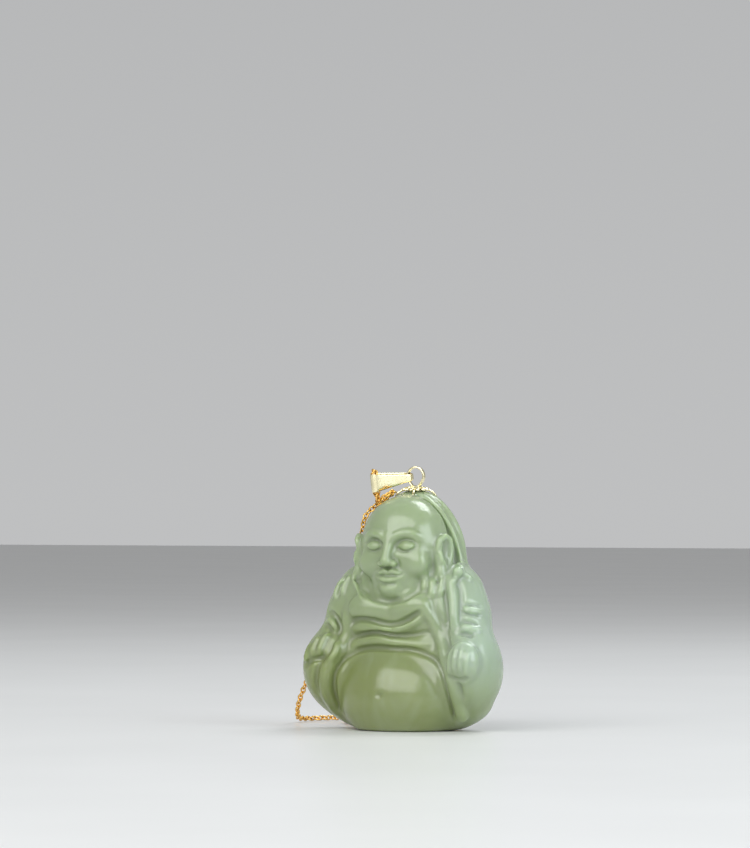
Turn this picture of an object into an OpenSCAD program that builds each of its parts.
// Carved jade pendant of a seated full-bellied monk, standing on its own flat base,
// with a gold flower cap, a screw eye, a folded bail and a fine cable chain
// that closes with a spring-ring clasp.
// The figure faces -Y. The origin is the middle of the base, on the surface it stands on.

/* [Stone] */
// Half width of the figure across the knees
half_width = 16.2; // [14:0.1:18]
// Height of the stone, base to crown
stone_height = 35.9; // [34:0.1:37]
// How far the belly comes forward of the middle of the base
belly_front = 8; // [7:0.1:9]
// Sides of the carved stone's mesh
stone_sides = 48; // [32:4:56]
// Levels of the carved stone's mesh
stone_levels = 54; // [40:2:60]

/* [Cap and eye] */
// How far the peg stands behind the middle of the base
peg_back = 4; // [3.5:0.1:4.5]
// Radius of the drilled peg hole
peg_hole_r = 0.45; // [0.44:0.01:0.5]
// Radius of the eye's shank
shank_r = 0.4; // [0.36:0.01:0.42]
// Petals round the flower cap
petal_count = 12; // [10:1:13]
// Radius of one petal
petal_r = 0.44; // [0.4:0.02:0.46]
// Outer radius of the eye
eye_r = 1.5; // [1.4:0.05:1.6]
// Width of the eye's band, front to back
eye_band = 0.7; // [0.6:0.05:0.8]

/* [Bail] */
// Length of the bail from fold to fold
bail_length = 6.7; // [6.4:0.1:7]
// Width of the bail at the chain's end
bail_wide = 2.9; // [2.6:0.1:3]
// Width of the bail at the eye
bail_narrow = 0.85; // [0.8:0.05:1]
// Thickness of the bail's strip
bail_strip = 0.2; // [0.15:0.01:0.22]
// Gap between the bail's two leaves
bail_gap = 1.3; // [1.25:0.01:1.4]

/* [Chain and clasp] */
// Width of a chain link
chain_d = 1; // [0.8:0.05:1]
// Radius of the clasp's ring, at the middle of its tube
clasp_r = 2.1; // [2:0.05:2.3]
// Outer radius of the clasp's tube
clasp_tube_r = 0.45; // [0.42:0.01:0.48]
// Half of the angle that the clasp's gate closes
gate_half_angle = 22; // [18:1:24]

/* [Hidden] */

$fn = 48;
tiny = 0.001;

// Fit of the stone's masses to the driving sizes: each mass is given at 32.4 by 16 by 35.9.
stone_fit = [half_width / 16.2, belly_front / 8, stone_height / 35.9];
// The stone's levels are rings about a core, which leans back to the crown above its bend.
core_y = 1.5;
core_top_y = 3.8;
core_bend_z = 24;
search_reach = 20;
search_steps = 11;
// The levels crowd towards the crown; the last one lies this far under it.
level_spread = 0.8;
top_level_drop = 0.15;

// The masses of the carving: [centre, radii, blend]. The blend is how softly a mass joins
// the ones before it.
STONE_MASSES = [
    [[0, 4.4, 25], [8.3, 3.5, 10.7], 1],            // back slab and hood
    [[0, 3.6, 31.4], [5, 4, 4.5], 1],               // crown
    [[0, 0.8, 27.8], [6.9, 6, 7.4], 1],             // head
    [[0, 1.6, 17], [11, 6.2, 7.5], 2],              // chest
    [[-7.2, 2.2, 20.4], [4.8, 4.6, 4.6], 2],        // right shoulder
    [[7.2, 2.2, 20.4], [4.8, 4.6, 4.6], 2],         // left shoulder
    [[0, 1.2, 8], [14.6, 6.4, 9], 2],               // lap
    [[0, 1.5, 4], [13.6, 5.8, 4.9], 1],             // seat
    [[0, -0.8, 5.2], [9.6, 7.2, 7.6], 0.8],         // belly
    [[-9.4, 1.4, 16.6], [4, 4.4, 5.2], 1.5],        // right sleeve
    [[9.6, 1.4, 16.6], [4, 4.4, 5.2], 1.5],         // left sleeve
    [[-11.7, -0.6, 9.3], [4.5, 4.8, 6], 2.5],       // right hand on its knee
    [[11.8, -0.6, 9.8], [4.4, 4.8, 6.2], 2.5],      // left hand on its knee
    [[-6.6, 1.6, 25.6], [1.2, 1.6, 3.6], 0.8],      // right ear
    [[6.6, 1.6, 25.6], [1.2, 1.6, 3.6], 0.8]        // left ear
];

// Eye, cap and peg
peg_hole_depth = 5;
eye_strip = 0.3;
eye_mid_r = eye_r - eye_strip / 2;
eye_rise = 2.2;
eye_z = stone_height + eye_rise;
shank_clear = 0.2;
dome_inner_r = 5;
cap_thick = 0.3;
cap_lift = 0.26;
dome_z = stone_height + cap_lift - dome_inner_r;
boss_r = 0.85;
boss_h = 0.3;
petal_ring_r = 1.75;
// Claws run down the dome between these angles from its top, a little proud of the petals.
claw_r = 0.14;
claw_lift = 0.13;
claw_from = 12;
claw_to = 37;
claw_turn = 20;

// Bail: its leaves hang from the eye's band on the figure's right.
bail_outer_r = bail_gap / 2 + bail_strip;
bail_behind_band = 0.85;
bail_drop_angle = 6;
bail_pitch = 9;
bail_yaw = 42;
bail_roll = 11;

// Clasp
clasp_centre = [0.8, 13.2, 1.15];
clasp_bore_r = 0.28;
gate_wire_r = 0.2;
gate_travel = 50;
gate_in_socket = 8;
gate_guide = 60;
knob_angle = gate_half_angle + 25;
knob_r = 0.22;
knob_h = 0.9;
slot_half_w = 0.26;
slot_margin = 9;
spring_end_angle = 165;
spring_wall = 0.12;
spring_clear = 0.04;
eyelet_r = 0.55;
eyelet_wire_r = 0.18;
eyelet_sunk = 0.05;
jump_ring_r = 0.75;
jump_ring_wire_r = 0.16;
jump_ring_out = 0.3;
end_ring_r = 1.25;
end_ring_wire_r = 0.2;
end_ring_tilt = 45;
end_ring_out = 0.45;

// Chain: the coil that lies behind the figure, and the two stretches that lead to it.
coil_centre = [-10.5, 16.5];
coil_columns = 4;
coil_levels = 2;
coil_outer_r = 7;
tube_sides = 8;

// From the coil, up the figure's right side, through the bail and down the back to the end ring.
NECK_ROUTE = [
    [-10.5, 23.5, 0.5], [-13, 23.2, 0.5], [-15.6, 22.8, 0.5], [-18.4, 21.8, 0.5],
    [-21, 20.2, 0.5], [-23.2, 17.8, 0.5], [-24.6, 15, 0.5], [-24.7, 12.4, 0.7],
    [-24, 10.4, 1.6], [-22.8, 8.9, 3.6], [-21.2, 8, 6.2], [-19.4, 7.3, 8.6],
    [-17.4, 6.7, 11.2], [-15.4, 6.2, 14], [-14.2, 6, 17], [-13, 5.9, 20],
    [-11.6, 5.5, 22.6], [-10.4, 4.6, 24.4], [-9.3, 3.2, 26], [-8.2, 1.9, 27.8],
    [-7.5, 0.9, 29.8], [-6.7, 0.4, 32], [-5.6, 1.4, 33.6], [-4.4, 2, 34.6],
    [-3, 1.8, 35.4], [-2.2, 0.9, 35.7], [-2.8, 0.1, 35.3], [-4, 0.2, 34.5],
    [-4.9, 1, 34.4],
    [-5, 1.2, 35.2], [-5, 0.9, 36.3], [-5, 0.7, 37.2], [-5, 0.5, 38], [-5.1, 0.5, 38.5],
    [-5.5, 0.9, 38.8], [-5.9, 1.3, 38.5], [-6.1, 1.6, 37.8], [-6.1, 1.9, 37], [-6.1, 2.1, 36.1],
    [-6.1, 2.9, 35], [-6.2, 4, 34], [-6.8, 5.5, 32.5], [-7.1, 6.7, 30.6],
    [-6.8, 7.5, 28], [-6.4, 7.8, 25], [-6, 7.9, 22], [-6, 7.9, 19], [-6, 7.8, 16],
    [-6, 7.6, 13], [-6, 7.6, 10], [-6, 7.6, 7], [-5.9, 7.8, 4.4], [-5.6, 8.6, 2.4],
    [-5, 9.8, 1], [-4.2, 10.8, 0.6], [-3.7, 11.7, 0.6], [-3.5, 12.6, 0.8]
];
first_in_bail = 29;
last_in_bail = 38;

// From the coil to the clasp's jump ring.
TAIL_ROUTE = [
    [-10.5, 23.5, 1.5], [-8.2, 23.3, 1.3], [-6, 22.6, 0.9], [-3.8, 21.6, 0.5],
    [-1.6, 20.4, 0.5], [0, 19.2, 0.6], [0.7, 18, 0.7]
];

// ---- Stone ----

// Distance from a point to an ellipsoid, negative inside.
function ellipsoid_gap(p, centre, radii) =
    let (
        q = p - centre,
        a = [q.x / radii.x, q.y / radii.y, q.z / radii.z],
        b = [a.x / radii.x, a.y / radii.y, a.z / radii.z],
        near = norm(a)
    )
    near * (near - 1) / max(norm(b), tiny);

// The smaller of two distances, rounded over where they are closer than the blend.
function soft_min(a, b, blend) =
    let (h = max(blend - abs(a - b), 0) / blend)
    min(a, b) - h * h * blend / 4;

function stone_gap(p, i = 0, so_far = 100) =
    i == len(STONE_MASSES) ? so_far :
    stone_gap(
        p, i + 1,
        soft_min(so_far, ellipsoid_gap(p, STONE_MASSES[i][0], STONE_MASSES[i][1]),
                 STONE_MASSES[i][2])
    );

// Halves the stretch from near to far, which holds the surface, until it is short.
function surface_reach(from, way, near = 0, far = search_reach, step = 0) =
    let (middle = (near + far) / 2)
    step == search_steps ? middle :
    stone_gap(from + way * middle) < 0
        ? surface_reach(from, way, middle, far, step + 1)
        : surface_reach(from, way, near, middle, step + 1);

crown_top = core_bend_z + surface_reach([0, core_top_y, core_bend_z], [0, 0, 1]);

function core_at(z) =
    let (lean = max(0, z - core_bend_z) / (crown_top - core_bend_z))
    [0, core_y + lean * (core_top_y - core_y), z];

function level_height(i) =
    (crown_top - top_level_drop) * sin(90 * pow(i / (stone_levels - 1), level_spread));

function stone_ring(z) = [
    for (j = [0 : stone_sides - 1])
        let (way = [cos(360 * j / stone_sides), sin(360 * j / stone_sides), 0])
        core_at(z) + way * surface_reach(core_at(z), way)
];

module stone_solid() {
    rings = [for (i = [0 : stone_levels - 1]) stone_ring(level_height(i))];
    points = concat([for (ring = rings) each ring], [core_at(crown_top)]);
    top = len(points) - 1;
    walls = [
        for (i = [0 : stone_levels - 2], j = [0 : stone_sides - 1])
            let (k = (j + 1) % stone_sides, low = i * stone_sides, high = low + stone_sides)
            each [[low + j, high + j, high + k], [low + j, high + k, low + k]]
    ];
    crown = [
        for (j = [0 : stone_sides - 1])
            let (low = (stone_levels - 1) * stone_sides)
            [low + j, top, low + (j + 1) % stone_sides]
    ];
    base = [[for (j = [0 : stone_sides - 1]) j]];
    scale(stone_fit) polyhedron(points = points, faces = concat(walls, crown, base));
}

module jade_figure() {
    color("#9fb08a")
    difference() {
        stone_solid();
        translate([0, peg_back, stone_height - peg_hole_depth])
            cylinder(r = peg_hole_r, h = 2 * peg_hole_depth);
    }
}

// ---- Cap and eye ----

module flower_outline() {
    cylinder(r = petal_ring_r, h = 2 * dome_inner_r);
    for (i = [0 : petal_count - 1])
        rotate([0, 0, claw_turn + 360 * (i + 0.5) / petal_count])
            translate([petal_ring_r, 0, 0])
                cylinder(r = petal_r, h = 2 * dome_inner_r);
}

module claw() {
    rotate([90, 0, 0])
        rotate([0, 0, 90 - claw_to])
            rotate_extrude(angle = claw_to - claw_from)
                translate([dome_inner_r + cap_thick / 2 + claw_lift, 0])
                    circle(r = claw_r);
}

module flower_cap() {
    color("#e8c66a")
    translate([0, peg_back, dome_z])
    difference() {
        union() {
            intersection() {
                difference() {
                    sphere(r = dome_inner_r + cap_thick);
                    sphere(r = dome_inner_r);
                }
                flower_outline();
            }
            for (a = [claw_turn : 90 : 359])
                rotate([0, 0, a]) claw();
            translate([0, 0, dome_inner_r + cap_thick / 2])
                cylinder(r = boss_r, h = boss_h);
        }
        cylinder(r = peg_hole_r, h = 2 * dome_inner_r);
    }
}

module eye_pin() {
    shank_base = stone_height - peg_hole_depth + shank_clear;
    color("#f0d27a")
    translate([0, peg_back, 0]) {
        difference() {
            translate([0, 0, shank_base])
                cylinder(r = shank_r, h = eye_z - eye_mid_r - shank_base);
            translate([0, 0, eye_z])
                rotate([90, 0, 0])
                    cylinder(r = eye_mid_r, h = 2, center = true);
        }
        translate([0, 0, eye_z])
            rotate([90, 0, 0])
                difference() {
                    cylinder(r = eye_r, h = eye_band, center = true);
                    cylinder(r = eye_r - eye_strip, h = 2 * eye_band, center = true);
                }
    }
}

// ---- Bail ----

// Places a part drawn with X along the bail, Y towards its front leaf and Z across its width.
module at_bail() {
    translate([0, peg_back, eye_z])
        translate([-eye_mid_r * cos(bail_drop_angle), 0, -eye_mid_r * sin(bail_drop_angle)])
            rotate([0, 0, 180 + bail_yaw])
                rotate([0, bail_pitch, 0])
                    rotate([-bail_roll, 0, 0])
                        children();
}

module slot_outline(r, length) {
    translate([-length / 2, 0]) circle(r = r);
    translate([length / 2, 0]) circle(r = r);
    square([length, 2 * r], center = true);
}

module bail() {
    straight = bail_length - 2 * bail_outer_r;
    middle = bail_length / 2 - bail_behind_band;
    color("#f2dc8c")
    at_bail()
    translate([middle, 0, 0])
    intersection() {
        difference() {
            linear_extrude(height = bail_wide, center = true)
                slot_outline(bail_outer_r, straight);
            linear_extrude(height = 2 * bail_wide, center = true)
                slot_outline(bail_gap / 2, straight);
        }
        rotate([90, 0, 0])
            linear_extrude(height = 4 * bail_outer_r, center = true)
                polygon([
                    [-bail_length / 2 - 0.1, -bail_narrow / 2],
                    [bail_length / 2 + 0.1, -bail_wide / 2],
                    [bail_length / 2 + 0.1, bail_wide / 2],
                    [-bail_length / 2 - 0.1, bail_narrow / 2]
                ]);
    }
}

// ---- Chain ----

function unit(v) = v / norm(v);

function heading(route, i) =
    unit(route[min(i + 1, len(route) - 1)] - route[max(i - 1, 0)]);

// A direction across the route that turns no more than the route does.
function across(route, i) =
    let (
        way = heading(route, i),
        last = i == 0 ? [0, 0, 1] : across(route, i - 1)
    )
    unit(last - way * (last * way));

function tube_ring(route, i, r) =
    let (u = across(route, i), v = cross(heading(route, i), u))
    [
        for (j = [0 : tube_sides - 1])
            let (a = 360 * (j + 0.5) / tube_sides)
            route[i] + r * (cos(a) * u + sin(a) * v)
    ];

module tube(route, first, last) {
    count = last - first + 1;
    points = [for (i = [first : last]) each tube_ring(route, i, chain_d / 2)];
    walls = [
        for (i = [0 : count - 2], j = [0 : tube_sides - 1])
            let (k = (j + 1) % tube_sides, low = i * tube_sides, high = low + tube_sides)
            each [[low + j, high + k, low + k], [low + j, high + j, high + k]]
    ];
    start_face = [for (j = [0 : tube_sides - 1]) j];
    end_face = [for (j = [tube_sides - 1 : -1 : 0]) (count - 1) * tube_sides + j];
    polyhedron(points = points, faces = concat(walls, [start_face, end_face]));
}

module chain_left_fall() {
    color("#c9972f") tube(NECK_ROUTE, 0, first_in_bail);
}

module chain_in_bail() {
    color("#c9972f") tube(NECK_ROUTE, first_in_bail, last_in_bail);
}

module chain_back_fall() {
    color("#c9972f") tube(NECK_ROUTE, last_in_bail, len(NECK_ROUTE) - 1);
}

module chain_tail() {
    color("#c9972f") tube(TAIL_ROUTE, 0, len(TAIL_ROUTE) - 1);
}

module chain_coil() {
    r = chain_d / 2;
    inner = coil_outer_r - (coil_columns - 1) * chain_d;
    top = (coil_levels - 1) * chain_d + r;
    color("#c9972f")
    translate([coil_centre.x, coil_centre.y, 0])
        rotate_extrude() {
            for (x = [inner, coil_outer_r], z = [r, top])
                translate([x, z]) circle(r = r);
            translate([inner, 0]) square([coil_outer_r - inner, top + r]);
            translate([inner - r, r]) square([coil_outer_r - inner + 2 * r, top - r]);
        }
}

// ---- Clasp ----

// Places a part drawn with the clasp's gate towards +X.
module at_clasp() {
    translate(clasp_centre) rotate([0, 0, -90]) children();
}

module ring_of_wire(r, wire_r) {
    rotate_extrude() translate([r, 0]) circle(r = wire_r);
}

module arc_of_wire(r, wire_r, from, to) {
    rotate([0, 0, from])
        rotate_extrude(angle = to - from)
            translate([r, 0]) circle(r = wire_r);
}

module clasp_body() {
    color("#d9a93e")
    at_clasp() {
        difference() {
            arc_of_wire(clasp_r, clasp_tube_r, gate_half_angle, 360 - gate_half_angle);
            arc_of_wire(clasp_r, clasp_bore_r, gate_half_angle - 2, spring_end_angle);
            arc_of_wire(clasp_r, clasp_bore_r, 360 - gate_half_angle - gate_in_socket - 4,
                        362 - gate_half_angle);
            rotate([0, 0, knob_angle - slot_margin])
                rotate_extrude(angle = gate_travel + 2 * slot_margin)
                    translate([clasp_r + clasp_bore_r / 2, -slot_half_w])
                        square([1, 2 * slot_half_w]);
        }
        translate([-clasp_r - clasp_tube_r - eyelet_r + eyelet_sunk, 0, 0])
            ring_of_wire(eyelet_r, eyelet_wire_r);
    }
}

module clasp_gate() {
    color("#e3b750")
    at_clasp() {
        arc_of_wire(clasp_r, gate_wire_r, -gate_half_angle - gate_in_socket,
                    gate_half_angle + gate_guide);
        rotate([0, 0, knob_angle])
            translate([clasp_r, 0, 0])
                rotate([0, 90, 0])
                    cylinder(r = knob_r, h = knob_h);
    }
}

module clasp_spring() {
    wire_mid_r = clasp_bore_r - spring_wall / 2 - spring_clear;
    color("#b9bcc0")
    at_clasp()
        rotate([0, 0, gate_half_angle + gate_guide])
            rotate_extrude(angle = spring_end_angle - gate_half_angle - gate_guide)
                translate([clasp_r, 0])
                    difference() {
                        circle(r = wire_mid_r + spring_wall / 2);
                        circle(r = wire_mid_r - spring_wall / 2);
                    }
}

module clasp_jump_ring() {
    eyelet_end = -clasp_r - clasp_tube_r - 2 * eyelet_r + eyelet_sunk;
    color("#d9a93e")
    at_clasp()
        translate([eyelet_end - jump_ring_out, 0, 0])
            rotate([90, 0, 0])
                ring_of_wire(jump_ring_r, jump_ring_wire_r);
}

module end_ring() {
    color("#d9a93e")
    translate(clasp_centre + [-clasp_r - end_ring_out, 0, 0])
        rotate([90 + end_ring_tilt, 0, 0])
            ring_of_wire(end_ring_r, end_ring_wire_r);
}

jade_figure();
flower_cap();
eye_pin();
bail();
chain_in_bail();
chain_left_fall();
chain_back_fall();
chain_coil();
chain_tail();
clasp_body();
clasp_gate();
clasp_spring();
clasp_jump_ring();
end_ring();
